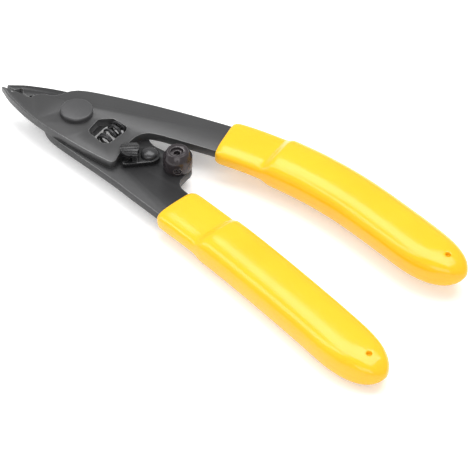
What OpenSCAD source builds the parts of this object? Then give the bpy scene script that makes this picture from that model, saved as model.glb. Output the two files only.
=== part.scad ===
/* [Lever plates] */
// Thickness of each lever plate
plate_t = 2.8; // [2:0.1:4]
// Distance from the pivot to the jaw tips
jaw_len = 27.75; // [22:0.25:34]
// Width of the lever arm between the pivot and the grip
lever_w = 12.3; // [11:0.1:12.9]
// Reach of the shoulder lobe along the tool
lobe_x = 22.0; // [21.5:0.1:22.1]
// Reach of the shoulder lobe to the side
lobe_y = 14.1; // [13.4:0.1:15.2]
// Height of the pivot boss on the side of the lever arm
boss_y = 11.0; // [10:0.1:12]
// Angle that the jaws stand open at rest
ajar = 5.6; // [2:0.1:8]
// Lap of the two cutting edges when the tool is closed
edge_lap = 0.15; // [0.05:0.05:0.4]

/* [Cutting jaws] */
// Width of the blunt tip of a jaw
tip_w = 0.5; // [0.3:0.1:1.2]
// Distance from the pivot to the jacket notch
jacket_notch_x = 17.9; // [17.6:0.1:19]
// Radius of the jacket notch
jacket_notch_r = 1.1; // [0.5:0.1:1.3]
// Distance from the pivot to the buffer notch
buffer_notch_x = 23.0; // [21.6:0.1:23.6]
// Radius of the round bottom of the buffer notch
buffer_notch_r = 0.6; // [0.2:0.05:0.7]
// Depth of the buffer notch
buffer_notch_d = 1.8; // [1.2:0.1:2]
// Width of the ground bevel along a cutting edge
knife_w = 1.1; // [0.6:0.1:1.6]
// Depth of the ground bevel along a cutting edge
knife_d = 1.7; // [0.8:0.1:1.9]
// Width of the ground relief along the back of a jaw
relief_w = 0.45; // [0.2:0.05:0.8]
// Depth of the ground relief along the back of a jaw
relief_d = 0.7; // [0.3:0.1:1.2]

/* [Spring window] */
// Near end of the window along the tool
win_x0 = 7.4; // [6.8:0.1:8.4]
// Length of the window along the tool
win_len = 10.3; // [9.6:0.1:11]
// Depth of the upper window on the side that the spring pushes
win_push = 3.3; // [2.8:0.05:3.6]
// Depth of the lower window on the side that the spring pushes
win_push_low = 4.6; // [4:0.05:4.8]
// Depth of the window on the free side
win_free = 7.9; // [5.5:0.1:8.5]
// Corner radius of the window
win_r = 2.2; // [1:0.1:3]

/* [Return spring] */
// Outer diameter of the return spring
spring_od = 6.4; // [5.6:0.1:6.8]
// Wire diameter of the return spring
spring_wire = 1.0; // [0.6:0.05:1.1]
// Number of turns of the return spring
spring_turns = 5; // [4:1:6]
// Distance from the pivot axis to the spring axis
spring_x = 13.6; // [13.2:0.1:13.8]
// Width of the prong that locates a spring end
prong_w = 2.2; // [1.6:0.1:2.4]
// Length of the prong that locates a spring end
prong_len = 1.5; // [1:0.1:1.8]
// Thickness of the prong that locates a spring end
prong_t = 1.4; // [1:0.1:1.6]

/* [Pivot] */
// Diameter of the pivot bolt
pivot_d = 6; // [5:0.5:7]
// Diameter of the pivot head
pivot_head_d = 10.2; // [9:0.1:11]
// Height of the pivot head
pivot_head_h = 1.7; // [1.4:0.1:3]
// Width of the chamfer around the pivot head
pivot_head_c = 0.35; // [0.2:0.05:0.7]
// Size of the pivot nut across its flats
nut_af = 10; // [9:0.5:11]
// Height of the pivot nut
nut_h = 2.8; // [2:0.1:4]
// Length of bolt that stands out of the nut
bolt_out = 0.4; // [0.2:0.1:1]

/* [Lock latch] */
// Distance from the pivot to the latch rivet
rivet_x = 29.1; // [29:0.1:30]
// Sideways place of the latch rivet
rivet_y = -1.3; // [-1.8:0.1:-0.9]
// Diameter of the rivet shank
rivet_d = 3; // [2.5:0.1:3.4]
// Diameter of the domed rivet head
rivet_head_d = 5.3; // [4.8:0.1:5.8]
// Height of the domed rivet head
rivet_head_h = 1.7; // [1.2:0.1:2.2]
// Thickness of the latch plate
latch_t = 1.6; // [1.2:0.1:2]
// Radius of the round end of the latch
latch_r = 3.5; // [3.2:0.1:3.8]
// Reach of the latch nose from its rivet
latch_nose = 9.0; // [8:0.1:9.6]
// Height of the thumb tab above the latch plate
tab_h = 3.6; // [2.8:0.1:4.4]
// Width of the thumb tab
tab_w = 6.0; // [5:0.1:7]
// Pitch of the serrations on the thumb tab
tab_pitch = 1.05; // [0.8:0.05:1.4]

/* [Adjustable stop] */
// Distance from the pivot to the stop screw
stop_x = 38.56; // [38:0.02:39.4]
// Sideways place of the stop screw
stop_y = 0.42; // [-0.2:0.02:0.5]
// Eccentric throw of the stop collar
stop_throw = 0.4; // [0.2:0.05:0.6]
// Outer diameter of the stop collar
collar_d = 9.1; // [8.4:0.1:9.2]
// Diameter of the flat ring on top of the collar
collar_top_d = 6.8; // [6.2:0.1:7.4]
// Height of the stop collar
collar_h = 6.5; // [5.8:0.1:7.5]
// Height of the collar's cone
cone_h = 2.3; // [1.6:0.1:2.8]
// Diameter of the stop screw
stop_screw_d = 2.6; // [2.2:0.1:2.8]
// Diameter of the head of the stop screw
stop_head_d = 4.0; // [3.6:0.1:4.4]
// Height of the head of the stop screw
stop_head_h = 2.4; // [1.8:0.1:2.6]
// Size of the hexagon socket across its flats
hex_af = 2.0; // [1.5:0.1:2.4]
// Depth of the hexagon socket
hex_deep = 1.5; // [1:0.1:1.7]
// Diameter of the set screw in the collar
set_d = 2.3; // [1.8:0.1:2.4]
// Height of the set screw above the lever
set_z = 1.8; // [1.6:0.1:1.9]

/* [Grips] */
// Length of the upper grip along its middle line
upper_grip_len = 93.6; // [88:0.2:96]
// Length of the lower grip along its middle line
lower_grip_len = 94.2; // [90:0.2:98]
// Width of the thin neck of a grip
neck_w = 16.9; // [16:0.1:18]
// Thickness of the thin neck of a grip
neck_t = 6.4; // [5.6:0.1:7]
// Length of the thin neck of a grip
neck_len = 16.4; // [13:0.2:19]
// Length of the step from the neck to the body of a grip
step_len = 4; // [3:0.5:7]
// Width of the body of a grip
grip_w = 17.4; // [17:0.1:19]
// Thickness of the body of a grip
grip_t = 10.8; // [9.6:0.1:12]
// Length of the round end of a grip
end_len = 20; // [14:0.5:22]
// Length over which the end of a grip rounds off in thickness
end_thin = 11.5; // [7:0.5:14]
// Distance from the end of a grip to the end of the lever inside
tang_end = 12; // [8:0.5:14]
// Diameter of the vent dimple near the end of a grip
vent_d = 1.7; // [1:0.1:2.2]
// Distance from the end of a grip to the vent dimple
vent_back = 6.6; // [5.5:0.1:9]

/* [Fits] */
// Radial clearance of each pin in its hole
pin_clear = 0.04; // [0.02:0.01:0.08]
// Clearance at the sides of each lever in its grip
grip_clear = 0.3; // [0.2:0.05:0.4]

/* [Hidden] */
$fn = 64;

z_nut = bolt_out;
z_low = z_nut + nut_h;
z_mid = z_low + plate_t;
z_top = z_mid + plate_t;
half = ajar/2;

// A smooth line through points, with n steps between neighbours
function cr(a, b, c, d, t) = 0.5*((2*b) + (c - a)*t + (2*a - 5*b + 4*c - d)*t*t
    + (3*b - a - 3*c + d)*t*t*t);
function smooth(p, n = 4) = let (m = len(p) - 1) concat([for (i = [0:m-1], k = [0:n-1])
    cr(i > 0 ? p[i-1] : 2*p[0] - p[1], p[i], p[i+1], i < m - 1 ? p[i+2] : 2*p[m] - p[m-1], k/n)],
    [p[m]]);
function arc(c, r, a0, a1, n = 6) = [for (i = [0:n]) c + r*[cos(a0 + (a1-a0)*i/n), sin(a0 + (a1-a0)*i/n)]];
function flip(p) = [for (i = [len(p)-1:-1:0]) [p[i].x, -p[i].y]];
function turn(p, a) = [p.x*cos(a) - p.y*sin(a), p.x*sin(a) + p.y*cos(a)];

// Running length along a line, as tables that lookup() reads
function grow(p, i = 0, s = 0) = i >= len(p) ? [] :
    concat([s], grow(p, i + 1, i < len(p) - 1 ? s + norm(p[i+1] - p[i]) : s));
function table(p, s, k) = [for (i = [0:len(p)-1]) [s[i], p[i][k]]];
function at(tx, ty, s) = [lookup(s, tx), lookup(s, ty)];
function head(tx, ty, s) = let (d = at(tx, ty, s + 0.6) - at(tx, ty, s - 0.6)) atan2(d.y, d.x);
function side(tx, ty, s, w) = let (a = head(tx, ty, s)) at(tx, ty, s) + w*[-sin(a), cos(a)];

// Middle lines of the two arms, from the pivot end to the end of the grip, with the tool closed
up_line = smooth([[34.5, 11.15], [45.7, 12.45], [56.7, 13.2], [70.7, 12.7], [82.8, 11.2], [95.5, 8.4],
    [111.8, 3.3], [127, -1.4], [145, -3.8]], 6);
low_line = smooth([[34.5, -11.1], [46.7, -13.5], [58.8, -15.8], [69.5, -18.1], [80, -20.5], [95.5, -24.5],
    [111.6, -28.9], [127, -33.3], [148, -37.9]], 6);
up_s = grow(up_line);
low_s = grow(low_line);
ux = table(up_line, up_s, 0);
uy = table(up_line, up_s, 1);
lx = table(low_line, low_s, 0);
ly = table(low_line, low_s, 1);
up_mouth = 11.9;
low_mouth = 14.1;
up_end = up_mouth + upper_grip_len;
low_end = low_mouth + lower_grip_len;

// Back edge of the jaw, from the tip round to the shoulder lobe
lobe_r = 1.6;
jaw_back = smooth([[-jaw_len, edge_lap - tip_w], [-0.85*jaw_len, -0.225*lobe_y], [-0.73*jaw_len, -0.342*lobe_y],
    [-0.5*jaw_len, -0.532*lobe_y], [-0.2*jaw_len, -0.71*lobe_y], [0.08*lobe_x, -0.805*lobe_y],
    [0.43*lobe_x, -0.91*lobe_y], [0.75*lobe_x, -0.975*lobe_y], [lobe_x - lobe_r - 0.4, -lobe_y]], 4);
lobe_front = concat(arc([lobe_x - lobe_r, lobe_r - lobe_y], lobe_r, -85, -5, 5),
    smooth([[lobe_x - 0.5, -0.745*lobe_y], [lobe_x - 0.7, -0.43*lobe_y], [lobe_x - 0.6, -0.14*lobe_y],
        [lobe_x - 0.1, 0.2]], 3));
// Far edge, from the arm over the pivot boss to the root of the jaw
boss_up = smooth([[28.5, boss_y + 5.55], [20.5, boss_y + 4.3], [12.6, boss_y + 2.85], [4.8, boss_y + 1.2],
    [-0.3, boss_y], [-2.9, boss_y - 0.75]], 2);
boss_low = smooth([[27.3, boss_y + 4.8], [19.4, boss_y + 3.45], [11.4, boss_y + 2.2], [3.4, boss_y + 0.95],
    [-0.3, boss_y + 0.2], [-2.9, boss_y - 0.55]], 2);
jaw_root = smooth([[-5.2, boss_y - 1.7], [-7.1, boss_y - 3.2], [-8.4, 5.9], [-9.2, 4.6], [-10.8, 3.2],
    [-12.8, 2.7], [-14.4, 2.0], [-15.6, 0.9], [-16.1, edge_lap]], 3);

function arm(tx, ty, s0, s1, w) = concat(
    [for (s = [s0:3.6:s1 - 4]) side(tx, ty, s, -w/2)],
    [for (i = [0:6]) let (e = at(tx, ty, s1 - 4), h = head(tx, ty, s1 - 4), q = 90*i/6)
        e + turn([4*sin(q), -w/2 + 4*(1 - cos(q))], h)],
    [for (i = [6:-1:0]) let (e = at(tx, ty, s1 - 4), h = head(tx, ty, s1 - 4), q = 90*i/6)
        e + turn([4*sin(q), w/2 - 4*(1 - cos(q))], h)],
    [for (k = [floor((s1 - 4 - s0)/3.6):-1:0]) side(tx, ty, s0 + 3.6*k, w/2)]);

// Outline of the upper lever with the tool closed
upper_outline = concat(jaw_back, lobe_front,
    smooth([[lobe_x + 0.6, 1.6], [lobe_x + 1.8, 2.75], [lobe_x + 3.3, 3.5], [lobe_x + 6, 4.15]], 2),
    arm(ux, uy, 0.6, up_end - tang_end, lever_w),
    boss_up, jaw_root, [[-jaw_len, edge_lap]]);

// Outline of the lower lever, whose platform carries the latch and the stop
plat_y = 4.05;
stop_lobe_r = 4.3;
lower_outline = concat([[-jaw_len, -edge_lap]], flip(jaw_root), flip(boss_low),
    arm_low(), smooth([[stop_x + 6.9, -6.6], [stop_x + 5.4, -5.5], [stop_x + 4.4, -3.7]], 3),
    arc([stop_x, stop_y + 0.4], stop_lobe_r, -12, 80, 6),
    smooth([[stop_x - 3.6, plat_y + 0.25], [rivet_x - 1, plat_y], [lobe_x + 4, plat_y + 0.35],
        [lobe_x + 2.2, plat_y + 1.3], [lobe_x + 0.6, plat_y + 3], [lobe_x - 0.2, plat_y + 5]], 3),
    arc([lobe_x - lobe_r, lobe_y - lobe_r], lobe_r, 5, 85, 5), flip(jaw_back));
function arm_low() = let (a = arm(lx, ly, 0.6, low_end - tang_end, lever_w), n = len(a))
    [for (i = [0:n-1]) if (!(i > n - 8 && a[i].x < stop_x + 8.4)) a[i]];

function window(push) = concat(
    arc([win_x0 + win_r, -win_free + win_r + 1.6], win_r, 180, 250), arc([win_x0 + win_len - win_r - 1.3,
    -win_free + win_r], win_r, 255, 350),
    arc([win_x0 + win_len - win_r, push - win_r - 0.7], win_r, 0, 70),
    arc([win_x0 + win_r + 2, push - win_r], win_r, 90, 110),
    arc([win_x0 + win_r - 0.4, push - win_r - 1.3], win_r - 0.4, 120, 180));

// Cuts the corner off the top of an edge that runs from p to q, with the plate on its left
module edge_cut(p, q, w, d) {
    a = atan2(q.y - p.y, q.x - p.x);
    translate([p.x, p.y, 0]) rotate([0, 0, a]) rotate([90, 0, 90])
        translate([0, 0, -0.02]) linear_extrude(height = norm(q - p) + 0.04)
            polygon([[-w, plate_t - 2*d], [2*w, plate_t + d], [-w, plate_t + d]]);
}

// One lever plate, its working face down at z = 0
module plate(outline, push, holes) {
    difference() {
        linear_extrude(height = plate_t) polygon(outline);
        difference() {
            translate([0, 0, -1]) linear_extrude(height = plate_t + 2) polygon(window(push));
            translate([spring_x, push, 0]) rotate([0, 0, 180])
                translate([-prong_w/2, -2, -2]) cube([prong_w, prong_len + 2, prong_t + 2]);
        }
        translate([0, 0, -1]) cylinder(h = plate_t + 2, d = pivot_d + 2*pin_clear);
        for (h = holes) translate([h.x, h.y, -1]) cylinder(h = plate_t + 2, d = h.z + 2*pin_clear);
        translate([-jacket_notch_x, edge_lap - 0.25, -1]) cylinder(h = plate_t + 2, r = jacket_notch_r);
        translate([-buffer_notch_x, edge_lap - buffer_notch_d + buffer_notch_r, -1])
            cylinder(h = plate_t + 2, r = buffer_notch_r);
        translate([0, 0, -1]) linear_extrude(height = plate_t + 2)
            polygon([[-buffer_notch_x - buffer_notch_d, edge_lap + 0.1],
                [-buffer_notch_x - 0.85*buffer_notch_r, edge_lap - buffer_notch_d + 0.75*buffer_notch_r],
                [-buffer_notch_x + 0.85*buffer_notch_r, edge_lap - buffer_notch_d + 0.75*buffer_notch_r],
                [-buffer_notch_x + buffer_notch_d, edge_lap + 0.1]]);
        edge_cut([-16.2, edge_lap], [-jaw_len - 1, edge_lap], knife_w, knife_d);
        for (i = [0:19]) edge_cut(jaw_back[i], jaw_back[i+1], relief_w*(1 - i/20), relief_d*(1 - i/20));
    }
}

module upper_lever() {
    color("dimgray") translate([0, 0, z_mid]) rotate([0, 0, half])
        plate(upper_outline, win_push, []);
}

module lower_lever() {
    color("dimgray") translate([0, 0, z_mid]) rotate([0, 0, -half]) mirror([0, 0, 1])
        mirror([0, 1, 0]) plate([for (i = [len(lower_outline)-1:-1:0]) [lower_outline[i].x,
            -lower_outline[i].y]], win_push_low, [[rivet_x, -rivet_y, rivet_d], [stop_x, -stop_y, stop_screw_d]]);
}

// Width, thickness and squareness of a grip at the distance s from its mouth
function blend3(t) = let (u = min(max(t, 0), 1)) u*u*(3 - 2*u);
function grip_at(s, l) = let (k = blend3((s - neck_len)/step_len),
    e = max(0, (s - (l - end_len))/end_len), f = max(0, (s - (l - end_thin))/end_thin),
    m = 1 - 0.09*max(0, 1 - s/1.2))
    [m*(neck_w + (grip_w - neck_w)*k)*pow(max(1 - pow(e, 2.2), 0.004), 0.5),
     m*(neck_t + (grip_t - neck_t)*k)*pow(max(1 - pow(f, 2.2), 0.01), 0.5), 0.56 + 0.12*k];
function ring(tx, ty, s0, s, l, zc, n) = let (g = grip_at(s, l), c = at(tx, ty, s0 + s),
    a = head(tx, ty, s0 + s))
    [for (i = [0:n-1]) let (q = 360*i/n, y = sign(cos(q))*pow(abs(cos(q)), g[2])*g[0]/2,
        z = sign(sin(q))*pow(abs(sin(q)), g[2])*g[1]/2) [c.x - y*sin(a), c.y + y*cos(a), zc + z]];
module loft(rings) {
    n = len(rings[0]);
    m = len(rings);
    polyhedron(points = [for (r = rings, p = r) p], faces = concat(
        [[for (i = [0:n-1]) i]], [[for (i = [n-1:-1:0]) (m-1)*n + i]],
        [for (j = [0:m-2], i = [0:n-1]) [j*n + i, (j+1)*n + i, (j+1)*n + (i+1)%n]],
        [for (j = [0:m-2], i = [0:n-1]) [j*n + i, (j+1)*n + (i+1)%n, j*n + (i+1)%n]]));
}
module grip(tx, ty, s0, l, zc) {
    steps = concat([0, 0.5, 1.2, 5, 10], [for (i = [0:6]) neck_len + step_len*i/6],
        [for (i = [1:9]) neck_len + step_len + (l - end_len - neck_len - step_len)*i/9],
        [for (i = [1:9]) l - end_len*(1 - sin(10*i))]);
    v = at(tx, ty, s0 + l - vent_back);
    difference() {
        loft([for (s = steps) ring(tx, ty, s0, s, l, zc, 28)]);
        translate([0, 0, zc - plate_t/2]) linear_extrude(height = plate_t)
            polygon(arm(tx, ty, s0 - 3, s0 + l - tang_end + grip_clear, lever_w + 2*grip_clear));
        translate([v.x, v.y, zc + grip_t/2 - 1.5]) cylinder(h = 3, d = vent_d);
    }
}
module upper_grip() {
    color("gold") rotate([0, 0, half]) grip(ux, uy, up_mouth, upper_grip_len, z_mid + plate_t/2);
}
module lower_grip() {
    color("gold") rotate([0, 0, -half]) grip(lx, ly, low_mouth, lower_grip_len, z_low + plate_t/2);
}

module pivot_bolt() {
    color("silver") rotate_extrude() polygon([[0, 0], [pivot_d/2 - 0.3, 0], [pivot_d/2, 0.3],
        [pivot_d/2, z_top], [pivot_head_d/2, z_top], [pivot_head_d/2, z_top + pivot_head_h - pivot_head_c],
        [pivot_head_d/2 - pivot_head_c, z_top + pivot_head_h], [0, z_top + pivot_head_h]]);
}
module pivot_nut() {
    color("silver") translate([0, 0, z_nut]) difference() {
        intersection() {
            cylinder(h = nut_h, d = nut_af/cos(30), $fn = 6);
            rotate_extrude() polygon([[0, 0], [nut_af*0.48, 0], [nut_af*0.58, nut_af*0.06],
                [nut_af*0.58, nut_h], [0, nut_h]]);
        }
        translate([0, 0, -1]) cylinder(h = nut_h + 2, d = pivot_d + 2*pin_clear);
    }
}

// The return spring is pressed between the push side of both windows
spring_far = win_push*cos(half) + spring_x*sin(half) - 0.3;
spring_near = win_push_low*cos(half) + spring_x*sin(half) - 0.3;
module return_spring() {
    r = (spring_od - spring_wire)/2;
    reach = (spring_far + spring_near - spring_wire)/2;
    n = 16*spring_turns;
    // closed end turns, open turns between
    function rise(t) = let (u = (t*spring_turns - 0.9)/(spring_turns - 1.8)) -reach
        + 0.06*min(max(t*spring_turns, 0), 0.9) + 2*(reach - 0.054)*min(max(u, 0), 1)
        + 0.06*max(t*spring_turns - spring_turns + 0.9, 0);
    function coil(t) = [r*cos(360*t*spring_turns), rise(t), r*sin(360*t*spring_turns)];
    color("silver") translate([spring_x, (spring_far - spring_near)/2, z_mid])
        loft([for (i = [0:n]) let (c = coil(i/n), a = 360*i/n*spring_turns, o = [cos(a), 0, sin(a)])
            [for (k = [0:7]) c + spring_wire/2*(cos(45*k)*o + sin(45*k)*[0, 1, 0])]]);
}

// Lock latch in the frame of its rivet, plate face down at z = 0
nose_dir = 240;
latch_plate = concat(arc([0, 0], latch_r, -50, 140, 12),
    [[-4.2, 1.1], [-5.2, -0.9], [-5.0, -1.9], [-4.6, -2.7], [-4.0, -4.2], [-3.9, -6.4]],
    arc((latch_nose - 0.8)*[cos(nose_dir), sin(nose_dir)], 0.8, 185, 310, 4));
tab_gap = 0.35;
tab_dir = 216;
tab_reach = 9;
module lock_latch() {
    under = plate_t + tab_gap;
    color("dimgray") translate(concat(turn([rivet_x, rivet_y], -half), [z_mid])) difference() {
        union() {
            linear_extrude(height = latch_t) polygon(latch_plate);
            rotate([0, 0, tab_dir]) {
                // riser that lifts the thumb pad over the lever's shoulder
                translate([3.7, -0.8, latch_t/2]) cube([1.5, tab_w*0.65, under - latch_t/2 + 0.8]);
                // thumb pad, round in front and crowned across
                intersection() {
                    translate([0, 0, under]) linear_extrude(height = tab_h) union() {
                        translate([tab_reach - tab_w/2, 0]) circle(d = tab_w);
                        translate([3.7, -tab_w/2]) square([tab_reach - tab_w/2 - 3.7, tab_w]);
                    }
                    translate([0, 0, latch_t + tab_h - 4.6]) rotate([0, 90, 0]) cylinder(h = 12, r = 4.6);
                }
            }
        }
        translate([0, 0, -1]) cylinder(h = latch_t + 2, d = rivet_d + 2*pin_clear);
        rotate([0, 0, tab_dir]) for (k = [-2:2]) translate([3, 0, latch_t + tab_h - 4.6])
            rotate([asin(k*tab_pitch/4.6), 0, 0]) translate([0, 0, 4.6]) rotate([0, 90, 0])
            cylinder(h = 8, d = 0.55, $fn = 16);
    }
}

module latch_rivet() {
    color("silver") translate(concat(turn([rivet_x, rivet_y], -half), [z_low])) rotate_extrude()
        polygon(concat([[0, -0.8], [rivet_d*0.62, -0.8], [rivet_d*0.78, -0.5], [rivet_d*0.78, 0], [rivet_d/2, 0],
            [rivet_d/2, plate_t + latch_t], [rivet_head_d/2, plate_t + latch_t]],
            [for (i = [0:8]) [rivet_head_d/2*cos(90*i/8), plate_t + latch_t + 0.3
                + (rivet_head_h - 0.3)*sin(90*i/8)]]));
}

throw_dir = 98;
set_dir = -54;
bore_z = collar_h - stop_head_h - 0.6;
module at_stop() translate(concat(turn([stop_x, stop_y], -half), [z_mid])) children();
module stop_collar() {
    color("gray") at_stop() difference() {
        translate(stop_throw*[cos(throw_dir - half), sin(throw_dir - half), 0]) rotate_extrude()
            polygon([[0, 0], [collar_d/2 - 0.3, 0], [collar_d/2, 0.3], [collar_d/2, collar_h - cone_h],
                [collar_top_d/2, collar_h - 0.15], [collar_top_d/2 - 0.2, collar_h], [0, collar_h]]);
        translate([0, 0, -1]) cylinder(h = collar_h + 2, d = stop_screw_d + 2*pin_clear);
        translate([0, 0, bore_z]) cylinder(h = collar_h, d = stop_head_d + 2*pin_clear);
        rotate([0, 0, set_dir]) translate([stop_screw_d/2, 0, set_z]) rotate([0, 90, 0])
            cylinder(h = collar_d, d = set_d + 2*pin_clear);
    }
}
module stop_screw() {
    color("silver") at_stop() difference() {
        rotate_extrude() polygon([[0, -plate_t], [stop_screw_d/2 - 0.2, -plate_t],
            [stop_screw_d/2, 0.2 - plate_t], [stop_screw_d/2, bore_z], [stop_head_d/2, bore_z],
            [stop_head_d/2, bore_z + stop_head_h - 0.2], [stop_head_d/2 - 0.2, bore_z + stop_head_h],
            [0, bore_z + stop_head_h]]);
        translate([0, 0, bore_z + stop_head_h - hex_deep]) cylinder(h = hex_deep + 1, d = hex_af/cos(30), $fn = 6);
    }
}
module stop_set_screw() {
    color("dimgray") at_stop() rotate([0, 0, set_dir]) translate([stop_screw_d/2 + 0.3, 0, set_z])
        rotate([0, 90, 0]) difference() {
            cylinder(h = collar_d/2 - stop_throw - stop_screw_d/2 - 0.8, d = set_d);
            translate([0, 0, collar_d/2 - stop_throw - stop_screw_d/2 - 1.7])
                cylinder(h = 2, d = 0.5*set_d/cos(30), $fn = 6);
        }
}

lower_lever();
upper_lever();
lower_grip();
upper_grip();
pivot_bolt();
pivot_nut();
return_spring();
lock_latch();
latch_rivet();
stop_collar();
stop_screw();
stop_set_screw();
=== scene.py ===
import math

import bmesh
import bpy
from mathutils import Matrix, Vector


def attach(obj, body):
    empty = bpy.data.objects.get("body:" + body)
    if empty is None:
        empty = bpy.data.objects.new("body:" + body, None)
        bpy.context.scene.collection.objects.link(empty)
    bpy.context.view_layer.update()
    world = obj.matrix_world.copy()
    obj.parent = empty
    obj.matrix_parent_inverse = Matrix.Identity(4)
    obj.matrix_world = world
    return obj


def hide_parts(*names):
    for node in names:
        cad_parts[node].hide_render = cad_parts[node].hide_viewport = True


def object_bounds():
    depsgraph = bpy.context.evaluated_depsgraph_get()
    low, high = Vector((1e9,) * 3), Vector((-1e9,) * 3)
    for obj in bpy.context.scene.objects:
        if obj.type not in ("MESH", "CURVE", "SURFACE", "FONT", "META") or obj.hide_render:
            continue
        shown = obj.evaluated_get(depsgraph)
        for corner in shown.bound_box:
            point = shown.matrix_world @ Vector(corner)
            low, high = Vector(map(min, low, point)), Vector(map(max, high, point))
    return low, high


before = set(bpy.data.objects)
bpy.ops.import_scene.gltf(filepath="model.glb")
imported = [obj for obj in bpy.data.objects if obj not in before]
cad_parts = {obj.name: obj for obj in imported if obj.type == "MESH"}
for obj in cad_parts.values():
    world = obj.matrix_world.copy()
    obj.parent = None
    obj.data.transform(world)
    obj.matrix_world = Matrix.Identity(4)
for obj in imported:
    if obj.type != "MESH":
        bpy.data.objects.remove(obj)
cad_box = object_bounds()
MM = 0.001


# ---------- camera ----------

LOOK_AT = Vector((71.531, -19.812, 8.756)) * MM
EYE = Vector((464.431, -629.513, 697.157)) * MM
VIEW_ANGLE = 8.07
SENSOR = 36.0


def build_camera():
    data = bpy.data.cameras.new("camera")
    data.sensor_width = SENSOR
    data.lens = SENSOR / 2 / math.tan(math.radians(VIEW_ANGLE) / 2)
    data.clip_start = 0.05
    data.clip_end = 20.0
    data.dof.use_dof = False
    camera = bpy.data.objects.new("camera", data)
    camera.location = EYE
    camera.rotation_euler = (LOOK_AT - EYE).normalized().to_track_quat("-Z", "Y").to_euler()
    bpy.context.scene.collection.objects.link(camera)
    bpy.context.scene.camera = camera
    bpy.context.scene.view_settings.view_transform = "Standard"


build_camera()


# ---------- node helpers ----------

def link(tree, a, b):
    tree.links.new(a, b)


def new_group(name, inputs, outputs):
    tree = bpy.data.node_groups.new(name, "ShaderNodeTree")
    for label, kind, value in inputs:
        s = tree.interface.new_socket(label, in_out="INPUT", socket_type=kind)
        if value is not None:
            s.default_value = value
    for label, kind in outputs:
        tree.interface.new_socket(label, in_out="OUTPUT", socket_type=kind)
    return tree, tree.nodes.new("NodeGroupInput"), tree.nodes.new("NodeGroupOutput")


def make_fine_grain():
    """Fine satin grain: a value around zero to one at the given scale, and a broad cloudy value."""
    tree, gin, gout = new_group(
        "fine_grain",
        [("Scale", "NodeSocketFloat", 900.0), ("Cloud Scale", "NodeSocketFloat", 60.0)],
        [("Grain", "NodeSocketFloat"), ("Cloud", "NodeSocketFloat")])
    coords = tree.nodes.new("ShaderNodeTexCoord")
    grain = tree.nodes.new("ShaderNodeTexNoise")
    grain.inputs["Detail"].default_value = 3.0
    cloud = tree.nodes.new("ShaderNodeTexNoise")
    cloud.inputs["Detail"].default_value = 2.0
    for node, socket in ((grain, "Scale"), (cloud, "Cloud Scale")):
        link(tree, coords.outputs["Object"], node.inputs["Vector"])
        link(tree, gin.outputs[socket], node.inputs["Scale"])
    link(tree, grain.outputs["Fac"], gout.inputs["Grain"])
    link(tree, cloud.outputs["Fac"], gout.inputs["Cloud"])
    return tree


def make_edge_highlight():
    """Mask that is 1 along edges, where a highlight is painted."""
    tree, gin, gout = new_group(
        "painted_edge_highlight",
        [("Radius", "NodeSocketFloat", 0.0003), ("Amount", "NodeSocketFloat", 1.0)],
        [("Mask", "NodeSocketFloat")])
    geometry = tree.nodes.new("ShaderNodeNewGeometry")
    bevel = tree.nodes.new("ShaderNodeBevel")
    bevel.samples = 6
    dot = tree.nodes.new("ShaderNodeVectorMath")
    dot.operation = "DOT_PRODUCT"
    ramp = tree.nodes.new("ShaderNodeMapRange")
    ramp.inputs["From Min"].default_value = 0.985
    ramp.inputs["From Max"].default_value = 0.80
    scale = tree.nodes.new("ShaderNodeMath")
    scale.operation = "MULTIPLY"
    link(tree, gin.outputs["Radius"], bevel.inputs["Radius"])
    link(tree, bevel.outputs["Normal"], dot.inputs[0])
    link(tree, geometry.outputs["Normal"], dot.inputs[1])
    link(tree, dot.outputs["Value"], ramp.inputs["Value"])
    link(tree, ramp.outputs["Result"], scale.inputs[0])
    link(tree, gin.outputs["Amount"], scale.inputs[1])
    link(tree, scale.outputs["Value"], gout.inputs["Mask"])
    return tree


FINE_GRAIN = make_fine_grain()
EDGE_HIGHLIGHT = make_edge_highlight()


def material(name):
    mat = bpy.data.materials.new(name)
    mat.use_nodes = True
    tree = mat.node_tree
    return mat, tree, tree.nodes["Principled BSDF"]


def use_group(tree, group, **values):
    node = tree.nodes.new("ShaderNodeGroup")
    node.node_tree = group
    for key, value in values.items():
        node.inputs[key.replace("_", " ")].default_value = value
    return node


def mix_colour(tree, fac, a, b):
    node = tree.nodes.new("ShaderNodeMix")
    node.data_type = "RGBA"
    for socket, value in ((node.inputs[0], fac), (node.inputs[6], a), (node.inputs[7], b)):
        if hasattr(value, "links"):
            link(tree, value, socket)
        elif isinstance(value, (tuple, list)):
            socket.default_value = (*value, 1.0)
        else:
            socket.default_value = value
    return node.outputs[2]


def map_range(tree, value, a, b, c, d):
    node = tree.nodes.new("ShaderNodeMapRange")
    link(tree, value, node.inputs["Value"])
    for key, number in (("From Min", a), ("From Max", b), ("To Min", c), ("To Max", d)):
        node.inputs[key].default_value = number
    return node.outputs["Result"]


def bump(tree, shader, height, strength, distance):
    node = tree.nodes.new("ShaderNodeBump")
    node.inputs["Strength"].default_value = strength
    node.inputs["Distance"].default_value = distance
    link(tree, height, node.inputs["Height"])
    link(tree, node.outputs["Normal"], shader.inputs["Normal"])


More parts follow.
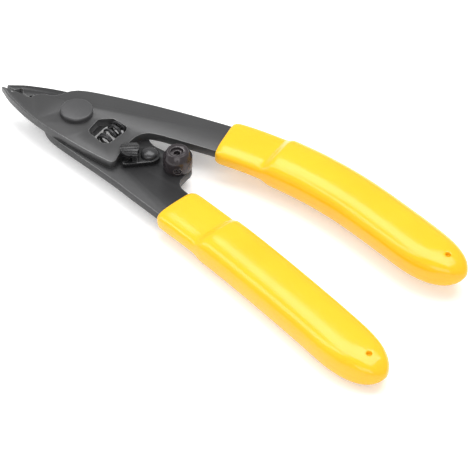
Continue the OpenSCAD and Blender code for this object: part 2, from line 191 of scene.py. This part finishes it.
def oxide_steel(name, base, light, rough, metallic=0.3, edge_highlight_amount=0.6, grain_scale=2600.0):
    """Black oxide steel: satin, with a faint cloudy tone and a painted highlight along the edges."""
    mat, tree, shader = material(name)
    grain = use_group(tree, FINE_GRAIN, Scale=grain_scale, Cloud_Scale=70.0)
    edge_glint = use_group(tree, EDGE_HIGHLIGHT, Radius=0.4 * MM, Amount=edge_highlight_amount)
    tone = mix_colour(tree, map_range(tree, grain.outputs["Cloud"], 0.3, 0.7, 0.0, 1.0),
                      base, tuple(min(1.0, c * 1.16) for c in base))
    # painted highlight: the edges are lightened towards the light colour
    tone = mix_colour(tree, edge_glint.outputs["Mask"], tone, light)
    link(tree, tone, shader.inputs["Base Color"])
    shader.inputs["Metallic"].default_value = metallic
    link(tree, map_range(tree, grain.outputs["Grain"], 0.3, 0.7, rough - 0.05, rough + 0.07),
         shader.inputs["Roughness"])
    bump(tree, shader, grain.outputs["Grain"], 0.25, 0.03 * MM)
    return mat


def yellow_vinyl():
    """Dipped soft vinyl: glossy, faintly uneven and faintly cloudy in tone."""
    mat, tree, shader = material("yellow_vinyl")
    grain = use_group(tree, FINE_GRAIN, Scale=420.0, Cloud_Scale=45.0)
    tone = mix_colour(tree, map_range(tree, grain.outputs["Cloud"], 0.35, 0.65, 0.0, 1.0),
                      (0.91, 0.50, 0.013), (0.94, 0.53, 0.016))
    link(tree, tone, shader.inputs["Base Color"])
    link(tree, map_range(tree, grain.outputs["Grain"], 0.3, 0.7, 0.14, 0.19), shader.inputs["Roughness"])
    shader.inputs["Specular IOR Level"].default_value = 0.42
    shader.inputs["Subsurface Weight"].default_value = 0.12
    shader.inputs["Subsurface Radius"].default_value = (1.0, 0.6, 0.1)
    shader.inputs["Subsurface Scale"].default_value = 0.0015
    bump(tree, shader, grain.outputs["Cloud"], 0.04, 0.3 * MM)
    return mat


PLATE_STEEL = oxide_steel("plate_oxide_steel", (0.052, 0.052, 0.053), (0.36, 0.36, 0.36), 0.38, edge_highlight_amount=0.8)
# lower plate: the same oxide steel with a darker base, which is painted shade for the shade the lower
# lever lies in
PAINTED_SHADE_STEEL = oxide_steel("lower_plate_painted_shade_steel", (0.028, 0.028, 0.029), (0.30, 0.30, 0.30), 0.40,
                          edge_highlight_amount=0.7)
RIVET_STEEL = oxide_steel("rivet_oxide_steel", (0.040, 0.040, 0.042), (0.22, 0.22, 0.22), 0.22, edge_highlight_amount=0.4)
PIN_STEEL = oxide_steel("pin_oxide_steel", (0.066, 0.066, 0.068), (0.40, 0.40, 0.40), 0.34, edge_highlight_amount=0.9)
LATCH_STEEL = oxide_steel("latch_oxide_steel", (0.012, 0.012, 0.013), (0.26, 0.26, 0.26), 0.24, edge_highlight_amount=0.35)
COLLAR_STEEL = oxide_steel("collar_oxide_steel", (0.036, 0.030, 0.033), (0.36, 0.34, 0.35), 0.18, edge_highlight_amount=0.8)
SPRING_STEEL = oxide_steel("spring_oiled_steel", (0.035, 0.035, 0.037), (0.2, 0.2, 0.2), 0.22, edge_highlight_amount=0.0)
GRIP_VINYL = yellow_vinyl()


# ---------- mesh helpers ----------

SAME_PLACE = 2e-7


def add_piece(name, mesh, mat, body):
    obj = bpy.data.objects.new(name, mesh)
    bpy.context.scene.collection.objects.link(obj)
    mesh.materials.clear()
    mesh.materials.append(mat)
    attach(obj, body)
    return obj


def smooth_shade(mesh):
    for poly in mesh.polygons:
        poly.use_smooth = True


def soft_edges(obj, width, segments=2, angle=30.0):
    mod = obj.modifiers.new("edge_break", "BEVEL")
    mod.width = width
    mod.segments = segments
    mod.limit_method = "ANGLE"
    mod.angle_limit = math.radians(angle)
    mod.harden_normals = True
    mod.use_clamp_overlap = True


def dressed(node, name, body, mat, width, segments=2, angle=30.0, flat_angle=0.6):
    """A copy of a CAD solid with merged corners and broken edges, which stands for that solid."""
    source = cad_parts[node]
    mesh = source.data.copy()
    bm = bmesh.new()
    bm.from_mesh(mesh)
    bmesh.ops.remove_doubles(bm, verts=bm.verts, dist=SAME_PLACE)
    bmesh.ops.dissolve_limit(bm, angle_limit=math.radians(flat_angle), verts=bm.verts, edges=bm.edges)
    bm.to_mesh(mesh)
    bm.free()
    smooth_shade(mesh)
    mesh.name = name
    obj = add_piece(name, mesh, mat, body)
    soft_edges(obj, width, segments, angle)
    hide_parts(node)


PLATE_BREAK = 0.25 * MM
PIN_BREAK = 0.10 * MM
LATCH_BREAK = 0.12 * MM
SCREW_BREAK = 0.08 * MM
GRUB_BREAK = 0.06 * MM

dressed("upper_lever", "upper_lever_plate", "upper", PLATE_STEEL, PLATE_BREAK)
dressed("lower_lever", "lower_lever_plate", "lower", PAINTED_SHADE_STEEL, PLATE_BREAK)
dressed("pivot_bolt", "pivot_bolt_turned", "lower", PIN_STEEL, PIN_BREAK)
dressed("pivot_nut", "pivot_nut_hex", "lower", PIN_STEEL, PIN_BREAK)
dressed("lock_latch", "lock_latch_plate", "latch", LATCH_STEEL, LATCH_BREAK)
dressed("latch_rivet", "latch_rivet_head", "lower", RIVET_STEEL, SCREW_BREAK)
dressed("stop_collar", "stop_collar_turned", "stop", COLLAR_STEEL, PIN_BREAK)
dressed("stop_screw", "stop_screw_socket", "lower", COLLAR_STEEL, SCREW_BREAK)
dressed("stop_set_screw", "stop_set_screw_socket", "stop", COLLAR_STEEL, GRUB_BREAK)


def plain(node, mat):
    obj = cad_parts[node]
    obj.data.materials.clear()
    obj.data.materials.append(mat)
    for slot in obj.material_slots:
        slot.material = mat


plain("return_spring", SPRING_STEEL)


def dipped(node, name, body):
    """The slip-on grip as one soft skin: the CAD faces rounded, with its mouth kept crisp."""
    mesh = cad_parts[node].data.copy()
    bm = bmesh.new()
    bm.from_mesh(mesh)
    bmesh.ops.remove_doubles(bm, verts=bm.verts, dist=SAME_PLACE)
    bmesh.ops.join_triangles(bm, faces=bm.faces, angle_face_threshold=math.radians(40),
                             angle_shape_threshold=math.radians(120))
    crease = bm.edges.layers.float.new("crease_edge")
    for edge in bm.edges:
        if len(edge.link_faces) == 2 and edge.calc_face_angle() > math.radians(50):
            edge[crease] = 0.9
    bmesh.ops.recalc_face_normals(bm, faces=bm.faces)
    bm.to_mesh(mesh)
    bm.free()
    smooth_shade(mesh)
    mesh.name = name
    obj = add_piece(name, mesh, GRIP_VINYL, body)
    mod = obj.modifiers.new("soft_skin", "SUBSURF")
    mod.levels = 2
    mod.render_levels = 2
    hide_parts(node)


dipped("upper_grip", "upper_grip_skin", "upper")
dipped("lower_grip", "lower_grip_skin", "lower")

# ---------- floor, light ----------

# Glow that the camera and mirror-like faces add to the floor, so that it reads as white
FLOOR_LIFT = 0.24
FLOOR_SIZE = 6.0
FLOOR_GAP = 0.2 * MM
WORLD_LIGHT = 0.55
TOOL_CENTRE = (0.07, -0.01, 0.0)
TOP_WATTS = 7.0
FILL_WATTS = 3.0
STRIP_WATTS = 2.0


def build_stage():
    bpy.ops.mesh.primitive_plane_add(size=FLOOR_SIZE,
                                     location=(TOOL_CENTRE[0], 0.0, cad_box[0][2] - FLOOR_GAP))
    floor = bpy.context.object
    floor.name = "floor"
    mat = bpy.data.materials.new("floor_white")
    mat.use_nodes = True
    tree = mat.node_tree
    tree.nodes.remove(tree.nodes["Principled BSDF"])
    out = tree.nodes["Material Output"]
    diffuse = tree.nodes.new("ShaderNodeBsdfDiffuse")
    diffuse.inputs["Color"].default_value = (0.9, 0.9, 0.9, 1)
    glow = tree.nodes.new("ShaderNodeEmission")
    path = tree.nodes.new("ShaderNodeLightPath")
    seen = tree.nodes.new("ShaderNodeMath")
    seen.operation = "MAXIMUM"
    link(tree, path.outputs["Is Camera Ray"], seen.inputs[0])
    link(tree, path.outputs["Is Glossy Ray"], seen.inputs[1])
    lift = tree.nodes.new("ShaderNodeMath")
    lift.operation = "MULTIPLY"
    lift.inputs[1].default_value = FLOOR_LIFT
    link(tree, seen.outputs[0], lift.inputs[0])
    link(tree, lift.outputs[0], glow.inputs["Strength"])
    both = tree.nodes.new("ShaderNodeAddShader")
    link(tree, diffuse.outputs[0], both.inputs[0])
    link(tree, glow.outputs[0], both.inputs[1])
    link(tree, both.outputs[0], out.inputs["Surface"])
    floor.data.materials.append(mat)


def area(name, place, aim, size_x, size_y, watts):
    data = bpy.data.lights.new(name, "AREA")
    data.shape = "RECTANGLE"
    data.size = size_x
    data.size_y = size_y
    data.energy = watts
    obj = bpy.data.objects.new(name, data)
    obj.location = place
    obj.rotation_euler = (Vector(place) - Vector(aim)).to_track_quat("Z", "Y").to_euler()
    bpy.context.scene.collection.objects.link(obj)


def build_light():
    world = bpy.data.worlds.new("studio") if not bpy.data.worlds else bpy.data.worlds[0]
    bpy.context.scene.world = world
    world.use_nodes = True
    tree = world.node_tree
    back = tree.nodes["Background"]
    path = tree.nodes.new("ShaderNodeLightPath")
    strength = tree.nodes.new("ShaderNodeMapRange")
    strength.inputs["To Min"].default_value = WORLD_LIGHT
    strength.inputs["To Max"].default_value = 1.0
    link(tree, path.outputs["Is Camera Ray"], strength.inputs["Value"])
    link(tree, strength.outputs["Result"], back.inputs["Strength"])
    back.inputs["Color"].default_value = (1, 1, 1, 1)
    area("top_softbox", (0.05, 0.25, 0.85), TOOL_CENTRE, 0.9, 0.6, TOP_WATTS)
    area("near_fill", (0.45, -0.75, 0.55), TOOL_CENTRE, 0.8, 0.5, FILL_WATTS)
    area("side_strip", (-0.55, -0.25, 0.55), TOOL_CENTRE, 0.2, 0.9, STRIP_WATTS)


build_stage()
build_light()
